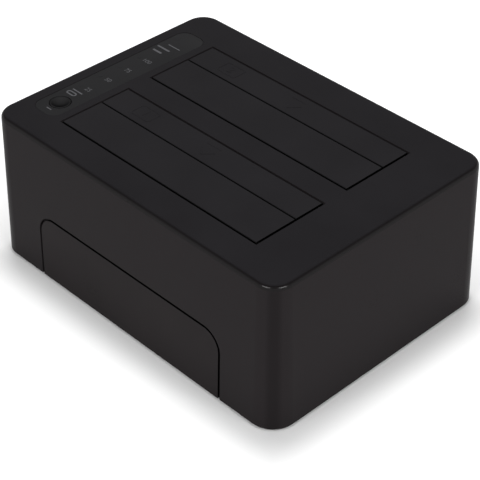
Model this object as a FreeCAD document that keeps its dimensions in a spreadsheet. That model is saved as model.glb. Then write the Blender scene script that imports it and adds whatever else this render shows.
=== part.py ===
import FreeCAD, Part
import math
import os
import types

import Sketcher

# A desktop dock for two bare hard drives. A drafted one-piece housing stands on a screwed base
# plate. Each bay in its top is closed by two sprung flaps that meet at a split line, and a drive
# pushed between them lands on an upright socket of the main board. A strip at the left end of
# the top carries the copy button and the level lights.
# X runs along the long front face, Y from front to back and Z up. The origin is on the floor
# under the middle of the housing. Millimetres and degrees.

SIZES = {
    # Housing outline at its lower edge, and the walls
    "base_length": 153.8,
    "base_depth": 112.1,
    "housing_height": 62.4,
    "wall_draft": 1.47,
    "corner_radius": 9.9,
    "edge_roll": 1.9,
    "wall": 2.2,
    "deck": 2.2,
    "foot_standoff": 1.2,
    # Two bays in the deck, each split into a wide front and a narrow back part
    "bay_length": 104.0,
    "bay_right_room": 0.6,
    "bay_width": 33.8,
    "bay_pitch": 44.4,
    "bay_pair_shift": -1.4,
    "wide_part": 20.0,
    # Flaps and their hinges
    "flap_drop": 0.2,
    "flap_plate": 1.8,
    "flap_end_gap": 0.6,
    "wide_hinge_gap": 1.1,
    "narrow_hinge_gap": 0.6,
    "split_gap": 0.5,
    "flap_edge": 0.2,
    "flap_rib": 1.0,
    "flap_rib_depth": 1.0,
    "flap_rib_pitch": 16.0,
    "pin_radius": 0.5,
    "pin_fit": 0.05,
    "pin_seat": 3.2,
    "stop_length": 4.0,
    "stop_setback": 1.0,
    "stop_reach": 1.3,
    "stop_gap": 0.2,
    "lip_setback": 0.3,
    "spring_length": 6.0,
    "spring_wire": 0.3,
    "spring_leg_inset": 0.05,
    "spring_room": 0.1,
    "spring_place": 36.0,
    "spring_leg": 6.0,
    # Guide wells, clamped between the deck and the main board
    "well_wall": 1.4,
    "well_setback": 0.2,
    "well_end_room": 1.6,
    "well_end_wall": 2.0,
    "well_rise": 9.0,
    "well_floor": 1.6,
    "well_corner": 1.2,
    "well_leg": 4.0,
    "well_fit": 0.15,
    "drive_length": 102.0,
    "drive_thickness": 27.0,
    "guide_rib": 1.2,
    "guide_spacing": 28.0,
    "guide_top_gap": 1.6,
    "locator_length": 6.0,
    "locator_thickness": 1.2,
    "locator_height": 3.0,
    # Drive sockets on the main board
    "socket_shift": -20.7,
    "socket_back": 10.0,
    "socket_length": 43.0,
    "socket_thickness": 5.8,
    "socket_foot_length": 47.0,
    "socket_foot_thickness": 7.0,
    "socket_foot_height": 4.0,
    "socket_rise": 4.8,
    "socket_room": 0.4,
    "slot_end": 2.4,
    "blade_slot": 1.5,
    "blade_depth": 4.4,
    "data_slot_length": 11.0,
    "power_slot_length": 21.4,
    "slot_key": 1.2,
    "contact_pitch": 1.27,
    "contact_width": 0.6,
    "contact_length": 2.8,
    "contact_drop": 0.6,
    "contact_stock": 0.3,
    # Base plate
    "plate_recess": 0.4,
    "plate_thickness": 2.2,
    "plate_room": 0.25,
    "post_inset": 9.2,
    "post_width": 6.0,
    "case_screw_radius": 1.4,
    "case_screw_bite": 9.0,
    "case_screw_room": 0.2,
    "case_screw_tip": 1.0,
    "case_head_radius": 2.6,
    "case_head": 1.1,
    "case_head_room": 0.3,
    "cross_length": 3.1,
    "cross_width": 0.65,
    "cross_depth": 0.6,
    "foot_radius": 5.0,
    "foot_inset_length": 20.0,
    "foot_inset_depth": 16.0,
    "vent_width": 1.8,
    "vent_length": 26.0,
    "vent_pitch": 5.0,
    "vent_group": 32.0,
    # Main board and what stands on it
    "board_rise": 4.2,
    "board_thickness": 1.6,
    "board_length": 124.0,
    "board_front": 44.0,
    "board_back_room": 7.05,
    "board_fit": 0.2,
    "chip_size": 10.0,
    "chip_height": 1.0,
    "chip_place": 20.0,
    "chip_back": 7.6,
    "hub_place": 36.0,
    "hub_back": 8.0,
    "capacitor_radius": 3.15,
    "capacitor_height": 8.0,
    "capacitor_spacing": 22.0,
    "inductor_size": 7.0,
    "inductor_height": 4.0,
    "inductor_place": 37.0,
    "inductor_spacing": 11.0,
    "inductor_back": 33.0,
    "crystal_length": 5.0,
    "crystal_width": 3.2,
    "crystal_height": 1.1,
    "crystal_place": 25.0,
    # Sockets and switch in the back wall
    "port_room": 0.3,
    "port_setback": 0.2,
    "port_cut_inside": 6.6,
    "usb_place": -6.0,
    "usb_width": 12.2,
    "usb_height": 12.6,
    "usb_depth": 15.4,
    "usb_shell": 0.8,
    "usb_cavity": 9.6,
    "usb_main_width": 9.0,
    "usb_main_height": 7.6,
    "usb_upper_width": 6.6,
    "usb_tongue_width": 5.6,
    "usb_tongue_height": 3.2,
    "usb_tongue_inset": 1.2,
    "usb_upper_tongue_width": 4.4,
    "usb_upper_tongue": 1.2,
    "usb_upper_rise": 0.6,
    "jack_place": 18.0,
    "jack_width": 9.0,
    "jack_height": 11.0,
    "jack_depth": 14.0,
    "jack_bore_radius": 3.15,
    "jack_bore_depth": 9.6,
    "jack_pin_radius": 1.0,
    "jack_pin_inset": 0.6,
    "switch_place": 44.0,
    "switch_width": 8.4,
    "switch_height": 8.4,
    "switch_depth": 9.0,
    "switch_travel": 2.0,
    "switch_gap": 0.3,
    "power_cap_radius": 4.0,
    "power_cap_room": 0.3,
    "power_cap_proud": 1.0,
    "power_recess_radius": 6.4,
    "power_recess_depth": 1.2,
    "power_flange": 1.0,
    "power_flange_reach": 1.0,
    "power_flange_gap": 0.6,
    "power_stem_width": 3.0,
    "power_stem_room": 0.2,
    "power_stem_sink": 2.8,
    # Front panel let into the front wall
    "tab_length": 100.4,
    "tab_height": 29.2,
    "tab_corner": 8.5,
    "panel_gap": 1.0,
    "panel_thickness": 1.4,
    "hook_width": 7.0,
    "hook_stem": 1.4,
    "hook_barb": 0.8,
    "hook_barb_length": 1.7,
    "hook_height": 15.0,
    "hook_spacing": 32.0,
    "hook_room": 0.3,
    "hook_slack": 0.1,
    "hook_slot_overrun": 1.0,
    # Control strip, copy button and lights
    "strip_width": 13.4,
    "strip_length": 79.2,
    "strip_corner": 4.6,
    "strip_centre": -62.4,
    "strip_recess": 0.6,
    "strip_thickness": 0.5,
    "strip_gap": 0.15,
    "button_place": -32.0,
    "button_radius": 4.1,
    "button_room": 0.25,
    "button_flange": 1.0,
    "button_flange_reach": 0.9,
    "button_dish": 0.8,
    "button_dish_floor": 1.8,
    "button_rim": 0.4,
    "button_travel": 0.5,
    "button_free_gap": 0.1,
    "control_board_drop": 5.2,
    "control_board_thickness": 1.2,
    "control_board_width": 12.6,
    "control_board_front": 42.4,
    "control_board_back": 40.0,
    "clip_width": 6.0,
    "clip_thickness": 1.2,
    "clip_barb": 0.8,
    "clip_rest": 2.0,
    "clip_fit": 0.1,
    "tact_size": 6.2,
    "tact_height": 3.5,
    "plunger_radius": 1.75,
    "plunger_depth": 1.0,
    "plunger_room": 0.2,
    "light_first": -18.8,
    "light_pitch": 10.0,
    "light_shift": -3.8,
    "light_pipe": 2.0,
    "light_bar": 3.0,
    "light_bar_height": 1.0,
    "lamp_length": 2.0,
    "lamp_width": 1.25,
    "lamp_height": 0.8,
    "lamp_gap": 0.2,
    # Flat cable between the two boards
    "cable_place": 6.0,
    "cable_width": 10.0,
    "cable_thickness": 1.0,
    "cable_shift": 2.6,
    "plug_length": 13.0,
    "plug_width": 4.0,
    "plug_height": 4.4,
}

LIGHTS = 6
CAPACITORS = 2
INDUCTORS = 2
HOOKS = 3
VENTS = 9
GUIDES = 4
FLAP_RIBS = 6
DATA_CONTACTS = 7
POWER_CONTACTS = 15


class Size:
    """A length that knows its value and the sheet formula that it comes from."""

    def __init__(self, formula, value):
        self.formula = formula
        self.value = value

    def __add__(self, other):
        other = sized(other)
        return Size(f"({self.formula} + {other.formula})", self.value + other.value)

    def __sub__(self, other):
        other = sized(other)
        return Size(f"({self.formula} - {other.formula})", self.value - other.value)

    def __mul__(self, other):
        other = sized(other)
        return Size(f"({self.formula} * {other.formula})", self.value * other.value)

    def __truediv__(self, other):
        other = sized(other)
        return Size(f"({self.formula} / {other.formula})", self.value / other.value)

    def __neg__(self):
        return Size(f"(0 - {self.formula})", -self.value)

    def __radd__(self, other):
        return sized(other) + self

    def __rsub__(self, other):
        return sized(other) - self

    def __rmul__(self, other):
        return sized(other) * self


def sized(number):
    """The number as a Size, if it isn't one already."""
    if isinstance(number, Size):
        return number
    return Size(repr(float(number)), float(number))


doc = FreeCAD.newDocument("drive_dock")
sheet = doc.addObject("Spreadsheet::Sheet", "sizes")
for row, (alias, amount) in enumerate(SIZES.items(), start=1):
    sheet.set(f"A{row}", alias)
    sheet.set(f"B{row}", str(amount))
    sheet.setAlias(f"B{row}", alias)
doc.recompute()
dim = types.SimpleNamespace(**{alias: Size(f"sizes.{alias}", amount) for alias, amount in SIZES.items()})
pieces = []


# Placing and binding

TURNS = {
    "X": FreeCAD.Rotation(FreeCAD.Vector(0, 1, 0), 90),
    "Y": FreeCAD.Rotation(FreeCAD.Vector(1, 0, 0), -90),
    "Z": FreeCAD.Rotation(),
    "-Y": FreeCAD.Rotation(FreeCAD.Vector(1, 0, 0), 90),
}


def bind(item, **lengths):
    """Ties properties of an object to formulas of the sheet."""
    for name, length in lengths.items():
        item.setExpression(name, sized(length).formula)


def place(item, spot, turn=FreeCAD.Rotation()):
    """Turns an object, and ties where it stands to the sheet."""
    item.Placement = FreeCAD.Placement(FreeCAD.Vector(), turn)
    for axis, length in zip("xyz", spot):
        item.setExpression(f"Placement.Base.{axis}", sized(length).formula)
    return item


def keep(item, label):
    """Names a finished piece and lists it for writing."""
    item.Label = label
    pieces.append(item)
    return item


# Solids from primitives


def block(name, low, high):
    """A box between two opposite corners."""
    item = doc.addObject("Part::Box", name)
    length, width, height = (sized(b) - sized(a) for a, b in zip(low, high))
    bind(item, Length=length, Width=width, Height=height)
    return place(item, low)


def slab(name, centre, size, bottom, top):
    """A box that is centred in X and Y, between two heights."""
    x, y = (sized(number) for number in centre)
    length, width = (sized(number) * 0.5 for number in size)
    return block(name, (x - length, y - width, bottom), (x + length, y + width, top))


def rod(name, start, radius, length, along="Z"):
    """A round bar from the centre of its first end."""
    item = doc.addObject("Part::Cylinder", name)
    bind(item, Radius=radius, Height=length)
    return place(item, start, TURNS[along])


def join(name, parts):
    item = doc.addObject("Part::MultiFuse", name)
    item.Shapes = parts
    return item


def gather(name, parts):
    """Separate solids kept as one group."""
    item = doc.addObject("Part::Compound", name)
    item.Links = parts
    return item


def carve(name, base, tools):
    item = doc.addObject("Part::Cut", name)
    item.Base = base
    item.Tool = tools[0] if len(tools) == 1 else join(f"{name}_tools", tools)
    return item


# Solids from sketches


def new_body(label, spot=(0, 0, 0), turn=FreeCAD.Rotation()):
    body = doc.addObject("PartDesign::Body", label)
    place(body, spot, turn)
    return keep(body, label)


def origin_part(body, role):
    return next(feature for feature in body.Origin.OriginFeatures if feature.Role == role)


def new_sketch(body, name, role="XY_Plane", shift=(0, 0, 0), lean=None):
    """A sketch on one of the body's own planes, moved in that plane's axes, and leaned if asked."""
    sketch = body.newObject("Sketcher::SketchObject", f"{body.Name}_{name}")
    sketch.AttachmentSupport = [(origin_part(body, role), "")]
    sketch.MapMode = "FlatFace"
    if lean is not None:
        leaned = FreeCAD.Rotation(FreeCAD.Vector(-1, 0, 0), lean.value)
        sketch.AttachmentOffset = FreeCAD.Placement(FreeCAD.Vector(), leaned)
        sketch.setExpression("AttachmentOffset.Rotation.Angle", lean.formula)
    for axis, length in zip("xyz", shift):
        sketch.setExpression(f"AttachmentOffset.Base.{axis}", sized(length).formula)
    return sketch


def pin_down(sketch, kind, geometry, point, length):
    """Ties one coordinate of a sketch point to the sheet."""
    length = sized(length)
    index = sketch.addConstraint(Sketcher.Constraint(kind, -1, 1, geometry, point, length.value))
    sketch.setExpression(f"Constraints[{index}]", length.formula)


def circle(sketch, x, y, radius):
    x, y, radius = sized(x), sized(y), sized(radius)
    centre = FreeCAD.Vector(x.value, y.value, 0)
    index = sketch.addGeometry(Part.Circle(centre, FreeCAD.Vector(0, 0, 1), radius.value), False)
    pin_down(sketch, "DistanceX", index, 3, x)
    pin_down(sketch, "DistanceY", index, 3, y)
    constraint = sketch.addConstraint(Sketcher.Constraint("Radius", index, radius.value))
    sketch.setExpression(f"Constraints[{constraint}]", radius.formula)


def octagon(sketch, x, y, reach):
    """A regular octagon about a centre, by the distance to its flats."""
    x, y, reach = sized(x), sized(y), sized(reach)
    half = reach * math.tan(math.pi / 8)
    points = [(reach, -half), (reach, half), (half, reach), (-half, reach)]
    points += [(-along, -up) for along, up in points]
    polygon(sketch, [(x + along, y + up) for along, up in points])


def polygon(sketch, corners):
    """A closed outline of straight lines through (x, y) corners."""
    first, count = sketch.GeometryCount, len(corners)
    points = [FreeCAD.Vector(sized(x).value, sized(y).value, 0) for x, y in corners]
    for start, end in zip(points, points[1:] + points[:1]):
        sketch.addGeometry(Part.LineSegment(start, end), False)
    for index, (x, y) in enumerate(corners):
        following = first + (index + 1) % count
        sketch.addConstraint(Sketcher.Constraint("Coincident", first + index, 2, following, 1))
        pin_down(sketch, "DistanceX", first + index, 1, x)
        pin_down(sketch, "DistanceY", first + index, 1, y)


def outline(sketch, corners):
    """A closed outline, drawn anticlockwise, of level and upright lines through (x, y, radius)
    corners. A corner whose radius is nothing stays sharp."""
    count = len(corners)
    points = [FreeCAD.Vector(sized(x).value, sized(y).value, 0) for x, y, _ in corners]
    radii = [radius and sized(radius) for _, _, radius in corners]
    ways = [(points[(i + 1) % count] - points[i]).normalize() for i in range(count)]
    trims = [radius.value if radius else 0.0 for radius in radii]
    lines = []
    for i in range(count):
        start = points[i] + ways[i] * trims[i]
        end = points[(i + 1) % count] - ways[i] * trims[(i + 1) % count]
        lines.append(sketch.addGeometry(Part.LineSegment(start, end), False))
    for i, (x, y, _) in enumerate(corners):
        level = abs(ways[i].y) < 0.5
        sketch.addConstraint(Sketcher.Constraint("Horizontal" if level else "Vertical", lines[i]))
        pin_down(sketch, "DistanceY" if level else "DistanceX", lines[i], 1, y if level else x)
        if radii[i]:
            round_corner(sketch, points[i], ways[i - 1], ways[i], lines[i - 1], lines[i], radii[i])
        else:
            sketch.addConstraint(Sketcher.Constraint("Coincident", lines[i - 1], 2, lines[i], 1))


def round_corner(sketch, corner, way_in, way_out, line_in, line_out, radius):
    """An arc tangent to the two lines that would meet at a corner."""
    centre = corner + (way_out - way_in) * radius.value
    turns_left = way_in.cross(way_out).z > 0
    middle = centre - (way_out - way_in).normalize() * radius.value
    begin, finish = corner - way_in * radius.value, corner + way_out * radius.value
    ends = (begin, finish) if turns_left else (finish, begin)
    arc = sketch.addGeometry(Part.Arc(ends[0], middle, ends[1]), False)
    first, last = (1, 2) if turns_left else (2, 1)
    sketch.addConstraint(Sketcher.Constraint("Tangent", line_in, 2, arc, first))
    sketch.addConstraint(Sketcher.Constraint("Tangent", arc, last, line_out, 1))
    constraint = sketch.addConstraint(Sketcher.Constraint("Radius", arc, radius.value))
    sketch.setExpression(f"Constraints[{constraint}]", radius.formula)


def rounded(sketch, x, y, half_x, half_y, radius):
    """A rectangle about a centre, with rounded corners."""
    x, y, half_x, half_y = (sized(number) for number in (x, y, half_x, half_y))
    left, right, low, high = x - half_x, x + half_x, y - half_y, y + half_y
    outline(sketch, [(left, low, radius), (right, low, radius), (right, high, radius), (left, high, radius)])


def rectangle(sketch, left, right, low, high):
    polygon(sketch, [(left, low), (right, low), (right, high), (left, high)])


def cut_rectangle(sketch, half_x, half_y, cut):
    """A rectangle about the middle, with its corners cut at 45 degrees."""
    near_x, near_y = half_x - cut, half_y - cut
    quarters = [(1, -1), (1, 1), (-1, 1), (-1, -1)]
    points = []
    for x, y in quarters:
        pair = [(near_x * x, half_y * y), (half_x * x, near_y * y)]
        points += pair if x * y < 0 else pair[::-1]
    polygon(sketch, points)


def square(sketch, x, y, side):
    half = 0.5 * side
    rectangle(sketch, x - half, x + half, y - half, y + half)


def ribs_round(sketch, centre, half_x, half_y):
    """Four short ribs round a rectangle, one beside the middle of each of its sides."""
    x, y = (sized(number) for number in centre)
    half = 0.5 * dim.locator_length
    far_x, far_y = half_x + dim.locator_thickness, half_y + dim.locator_thickness
    rectangle(sketch, x - far_x, x - half_x, y - half, y + half)
    rectangle(sketch, x + half_x, x + far_x, y - half, y + half)
    rectangle(sketch, x - half, x + half, y - far_y, y - half_y)
    rectangle(sketch, x - half, x + half, y + half_y, y + far_y)


def extrude(body, kind, sketch, length, flip, both, taper):
    before = body.Tip.Shape.Volume if body.Tip else 0.0
    feature = body.newObject(f"PartDesign::{kind}", f"{sketch.Name}_{kind.lower()}")
    feature.Profile = sketch
    bind(feature, Length=length)
    feature.Reversed = flip
    if both:
        feature.SideType = "Symmetric"
    if taper is not None:
        bind(feature, TaperAngle=taper)
    sketch.Visibility = False
    doc.recompute()
    change = feature.Shape.Volume - before
    if (change <= 0) if kind == "Pad" else (change >= 0):
        raise ValueError(f"{feature.Name} changes the volume by {change:.3f}")
    return feature


def pad(body, sketch, length, flip=False, both=False, taper=None):
    return extrude(body, "Pad", sketch, length, flip, both, taper)


def pocket(body, sketch, length, flip=False, both=False, taper=None):
    return extrude(body, "Pocket", sketch, length, flip, both, taper)


def soften(body, kind, size, wanted):
    """Fillets or chamfers the edges of the body's tip that a test picks."""
    base = body.Tip
    edges = [f"Edge{i}" for i, edge in enumerate(base.Shape.Edges, start=1) if wanted(edge)]
    feature = body.newObject(f"PartDesign::{kind}", f"{body.Name}_{kind.lower()}")
    feature.Base = (base, edges)
    bind(feature, **{"Radius" if kind == "Fillet" else "Size": size})
    doc.recompute()
    return feature


def row_of(body, feature, axis, length, count):
    """Repeats a feature along one of the body's axes."""
    pattern = body.newObject("PartDesign::LinearPattern", f"{feature.Name}_row")
    pattern.Originals = [feature]
    pattern.Direction = (origin_part(body, axis), [""])
    bind(pattern, Length=length)
    pattern.Occurrences = count
    body.Tip = pattern
    doc.recompute()
    return pattern


def mirror(body, features, role):
    """Repeats features on the other side of one of the body's planes."""
    mirrored = body.newObject("PartDesign::Mirrored", f"{features[0].Name}_mirror")
    mirrored.Originals = features
    mirrored.MirrorPlane = (origin_part(body, role), [""])
    body.Tip = mirrored
    doc.recompute()
    return mirrored


def level_edge(height, within=0.01):
    """A test for edges that lie wholly at one height."""

    def wanted(edge):
        return all(abs(vertex.Z - height.value) < within for vertex in edge.Vertexes)

    return wanted


# Heights and places that several pieces share

lean = Size(f"tan({dim.wall_draft.formula})", math.tan(math.radians(dim.wall_draft.value)))
base_edge = dim.foot_standoff
deck_top = base_edge + dim.housing_height
deck_under = deck_top - dim.deck
plate_under = base_edge + dim.plate_recess
plate_top = plate_under + dim.plate_thickness
board_under = plate_top + dim.board_rise
board_top = board_under + dim.board_thickness
board_back = 0.5 * dim.base_depth - dim.board_back_room
well_floor_top = board_top + dim.well_rise
well_floor_under = well_floor_top - dim.well_floor
hinge_height = deck_under + dim.pin_radius
flap_top = deck_top - dim.flap_drop
knuckle = flap_top - hinge_height
narrow_part = dim.bay_width - dim.wide_part
flap_half = 0.5 * dim.bay_length - dim.flap_end_gap
spring_inner = dim.pin_radius + dim.spring_room
spring_outer = spring_inner + dim.spring_wire
well_half_length = 0.5 * dim.bay_length + dim.well_end_room
well_outer_length = well_half_length + dim.well_end_wall
well_half_width = 0.5 * dim.bay_width + dim.well_setback
well_outer_width = well_half_width + dim.well_wall
leg_x = well_half_length - dim.well_leg
leg_y = well_outer_width - 0.5 * dim.well_leg
control_board_top = deck_under - dim.control_board_drop
control_board_under = control_board_top - dim.control_board_thickness
strip_floor = deck_top - dim.strip_recess
light_x = dim.strip_centre + dim.light_shift
lights = [dim.light_first + dim.light_pitch * index for index in range(LIGHTS)]
bay_centres = [dim.bay_pair_shift + dim.bay_pitch * (index - 0.5) for index in range(2)]
signs = (-1, 1)


def wall_face(half_base, height):
    """How far out a drafted wall's face stands at a height."""
    return half_base - (height - base_edge) * lean


def four_spots(reach_x, reach_y, middle_y=0.0):
    """Four places, one in each quarter about a point of the middle line."""
    return [(reach_x * side, middle_y + reach_y * end) for side in signs for end in signs]


def hinge_lines(index):
    """The hinge's Y for the wide and the narrow flap of a bay."""
    centre, half = bay_centres[index], 0.5 * dim.bay_width
    front, back = centre - half, centre + half
    return [front + dim.wide_hinge_gap + knuckle, back - dim.narrow_hinge_gap - knuckle]


def flap_reach(part, gap):
    """How far a flap reaches from its hinge to its free edge, in its part of the bay."""
    return part - gap - knuckle - 0.5 * dim.split_gap


corners = four_spots(0.5 * dim.base_length - dim.post_inset, 0.5 * dim.base_depth - dim.post_inset)
foot_spots = four_spots(
    0.5 * dim.base_length - dim.foot_inset_length, 0.5 * dim.base_depth - dim.foot_inset_depth
)
leg_spots = [spot for centre in bay_centres for spot in four_spots(leg_x, leg_y, centre)]
port_face = wall_face(0.5 * dim.base_depth, board_top + dim.usb_height) - dim.port_setback
switch_axis = board_top + 0.5 * dim.switch_height
hooks = [dim.hook_spacing * (index - 0.5 * (HOOKS - 1)) for index in range(HOOKS)]


# Housing: one drafted moulding, open below


def top_housing():
    body = new_body("top_housing")
    half_length, half_depth = 0.5 * dim.base_length, 0.5 * dim.base_depth
    sketch = new_sketch(body, "outline", shift=(0, 0, base_edge))
    rounded(sketch, 0, 0, half_length, half_depth, dim.corner_radius)
    pad(body, sketch, dim.housing_height, taper=-dim.wall_draft)
    soften(body, "Fillet", dim.edge_roll, level_edge(deck_top))
    sketch = new_sketch(body, "cavity", shift=(0, 0, base_edge))
    inside_outline(sketch, dim.wall)
    pocket(body, sketch, dim.housing_height - dim.deck, flip=True, taper=-dim.wall_draft)
    housing_posts(body)
    housing_locators(body)
    housing_clips(body)
    housing_deck(body)
    housing_front(body)
    housing_back(body)


def inside_outline(sketch, room):
    """The housing's lower outline drawn in by a distance, with corners cut to keep the wall even."""
    cut = (dim.corner_radius - room) * (2 - math.sqrt(2))
    cut_rectangle(sketch, 0.5 * dim.base_length - room, 0.5 * dim.base_depth - room, cut)


def housing_posts(body):
    """Hollow square posts at the corners, which the case screws bite into."""
    sketch = new_sketch(body, "posts", shift=(0, 0, plate_top))
    for x, y in corners:
        square(sketch, x, y, dim.post_width)
    pad(body, sketch, deck_under - plate_top)
    sketch = new_sketch(body, "post_holes", shift=(0, 0, plate_top))
    for x, y in corners:
        octagon(sketch, x, y, dim.case_screw_radius)
    pocket(body, sketch, dim.case_screw_bite + dim.case_screw_tip, flip=True)


def housing_locators(body):
    """Ribs under the deck that keep each guide well in its place."""
    sketch = new_sketch(body, "locators", shift=(0, 0, deck_under - dim.locator_height))
    for centre in bay_centres:
        ribs_round(sketch, (0, centre), well_outer_length + dim.well_fit, well_outer_width + dim.well_fit)
    pad(body, sketch, dim.locator_height)


def housing_clips(body):
    """Two clips below the deck that hold the control board by its ends."""
    ends = (("front", -dim.control_board_front, 1), ("back", dim.control_board_back, -1))
    for name, end, way in ends:
        beside = end - dim.clip_fit * way
        outside = beside - dim.clip_thickness * way
        barb, rest = end + dim.clip_barb * way, end + dim.clip_rest * way
        foot = control_board_under - dim.clip_thickness
        sketch = new_sketch(body, f"{name}_clip", "YZ_Plane", (0, 0, dim.strip_centre))
        polygon(
            sketch,
            [
                (outside, foot),
                (barb, foot),
                (barb, control_board_under),
                (beside, control_board_under),
                (beside, control_board_top),
                (rest, control_board_top),
                (rest, deck_under),
                (outside, deck_under),
            ],
        )
        pad(body, sketch, dim.clip_width, both=True)


def housing_deck(body):
    """Bay openings, hinge pin grooves, and the recess and holes of the control strip."""
    sketch = new_sketch(body, "bays", shift=(0, 0, deck_top))
    half_length, half_width = 0.5 * dim.bay_length, 0.5 * dim.bay_width
    right = half_length + dim.bay_right_room
    for centre in bay_centres:
        rectangle(sketch, -half_length, right, centre - half_width, centre + half_width)
    pocket(body, sketch, dim.deck)
    sketch = new_sketch(body, "pin_grooves", shift=(0, 0, deck_under))
    groove = dim.pin_radius + dim.pin_fit
    inner, outer = 0.5 * dim.bay_length - dim.pin_fit, 0.5 * dim.bay_length + dim.pin_seat + dim.pin_fit
    for line in hinge_lines(0) + hinge_lines(1):
        rectangle(sketch, -outer, -inner, line - groove, line + groove)
        rectangle(sketch, inner, outer, line - groove, line + groove)
    pocket(body, sketch, 2 * dim.pin_radius + dim.pin_fit, flip=True)
    sketch = new_sketch(body, "strip_recess", shift=(0, 0, deck_top))
    strip_outline(sketch, dim.strip_gap)
    pocket(body, sketch, dim.strip_recess)
    sketch = new_sketch(body, "strip_holes", shift=(0, 0, strip_floor))
    circle(sketch, dim.strip_centre, dim.button_place, dim.button_radius + dim.button_room)
    for y in lights:
        square(sketch, light_x, y, dim.light_pipe + 2 * dim.pin_fit)
    pocket(body, sketch, dim.deck)


def strip_outline(sketch, gap):
    """The control strip's rounded outline, grown by a gap all round."""
    half_width, half_length = 0.5 * dim.strip_width + gap, 0.5 * dim.strip_length + gap
    rounded(sketch, dim.strip_centre, dim.bay_pair_shift, half_width, half_length, dim.strip_corner + gap)


def housing_front(body):
    """The shallow tab-shaped recess of the front panel, with slots for its hooks."""
    front = (0, base_edge, 0.5 * dim.base_depth)
    sketch = new_sketch(body, "tab_recess", "XZ_Plane", front, dim.wall_draft)
    half = 0.5 * dim.tab_length
    bottom = -dim.panel_thickness
    outline(
        sketch,
        [
            (-half, bottom, 0),
            (half, bottom, 0),
            (half, dim.tab_height, dim.tab_corner),
            (-half, dim.tab_height, dim.tab_corner),
        ],
    )
    pocket(body, sketch, dim.panel_thickness)
    sketch = new_sketch(body, "hook_slots", "XZ_Plane", front, dim.wall_draft)
    half_width = 0.5 * dim.hook_width + dim.hook_room
    for x in hooks:
        low = dim.hook_height - dim.hook_room
        high = dim.hook_height + dim.hook_stem + dim.hook_barb + dim.hook_room
        rectangle(sketch, x - half_width, x + half_width, low, high)
    pocket(body, sketch, dim.wall + dim.hook_slot_overrun)


def housing_back(body):
    """Cut-outs for the sockets and the dished hole of the power button."""
    inside = wall_face(0.5 * dim.base_depth, base_edge) - dim.port_cut_inside
    sketch = new_sketch(body, "port_holes", "XZ_Plane", (0, 0, -inside))
    for x, width, height in (
        (dim.usb_place, dim.usb_width, dim.usb_height),
        (dim.jack_place, dim.jack_width, dim.jack_height),
    ):
        half = 0.5 * width + dim.port_room
        low, high = board_top - dim.port_room, board_top + height + dim.port_room
        rectangle(sketch, x - half, x + half, low, high)
    circle(sketch, dim.switch_place, switch_axis, dim.power_cap_radius + dim.power_cap_room)
    pocket(body, sketch, dim.port_cut_inside + dim.wall)
    outside = wall_face(0.5 * dim.base_depth, switch_axis)
    sketch = new_sketch(body, "power_recess", "XZ_Plane", (0, 0, dim.power_recess_depth - outside))
    circle(sketch, dim.switch_place, switch_axis, dim.power_recess_radius)
    pocket(body, sketch, dim.power_recess_depth + dim.wall)


# Base plate: a flat moulding let into the housing's open lower side


def base_plate():
    body = new_body("base_plate")
    sketch = new_sketch(body, "outline", shift=(0, 0, plate_under))
    inside_outline(sketch, dim.wall + dim.plate_room)
    pad(body, sketch, dim.plate_thickness)
    sketch = new_sketch(body, "board_supports", shift=(0, 0, plate_top))
    for x, y in leg_spots:
        square(sketch, x, y, dim.well_leg)
    pad(body, sketch, dim.board_rise)
    sketch = new_sketch(body, "board_locators", shift=(0, 0, plate_top))
    half_board, half_board_depth = 0.5 * dim.board_length, 0.5 * (board_back + dim.board_front)
    middle = 0.5 * (board_back - dim.board_front)
    ribs_round(sketch, (0, middle), half_board + dim.board_fit, half_board_depth + dim.board_fit)
    pad(body, sketch, board_top - plate_top - dim.board_fit)
    sketch = new_sketch(body, "screw_holes", shift=(0, 0, plate_top))
    for x, y in corners:
        octagon(sketch, x, y, dim.case_screw_radius + dim.case_screw_room)
    pocket(body, sketch, dim.plate_thickness)
    sketch = new_sketch(body, "head_recesses", shift=(0, 0, plate_under))
    for x, y in corners:
        circle(sketch, x, y, dim.case_head_radius + dim.case_head_room)
    pocket(body, sketch, dim.case_head, flip=True)
    sketch = new_sketch(body, "vents", shift=(0, 0, plate_top))
    first = -0.5 * dim.vent_pitch * (VENTS - 1)
    left, right = first - 0.5 * dim.vent_width, first + 0.5 * dim.vent_width
    for side in signs:
        middle = 0.5 * dim.vent_group * side
        rectangle(sketch, left, right, middle - 0.5 * dim.vent_length, middle + 0.5 * dim.vent_length)
    vent = pocket(body, sketch, dim.plate_thickness)
    row_of(body, vent, "X_Axis", dim.vent_pitch * (VENTS - 1), VENTS)


def case_screws():
    """Pan-head screws, driven up from below, with cross recesses in their heads."""
    seat = plate_under + dim.case_head
    screws = []
    for i, (x, y) in enumerate(corners):
        head = rod(f"case_head_{i}", (x, y, plate_under), dim.case_head_radius, dim.case_head)
        length = plate_top - seat + dim.case_screw_bite
        shank = rod(f"case_shank_{i}", (x, y, seat), dim.case_screw_radius, length)
        slots = [
            slab(f"case_slot_{i}_{way}", (x, y), size, 0, plate_under + dim.cross_depth)
            for way, size in (
                ("x", (dim.cross_length, dim.cross_width)),
                ("y", (dim.cross_width, dim.cross_length)),
            )
        ]
        screws.append(carve(f"case_screw_{i}", join(f"case_screw_{i}_whole", [head, shank]), slots))
    keep(gather("case_screw_group", screws), "case_screws")


def rubber_feet():
    """Round rubber pads stuck to the flat of the base plate."""
    feet = [rod(f"foot_{i}", (x, y, 0), dim.foot_radius, plate_under) for i, (x, y) in enumerate(foot_spots)]
    keep(gather("foot_group", feet), "rubber_feet")


# Front panel: a tab let into the front wall, held by three hooks


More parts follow.
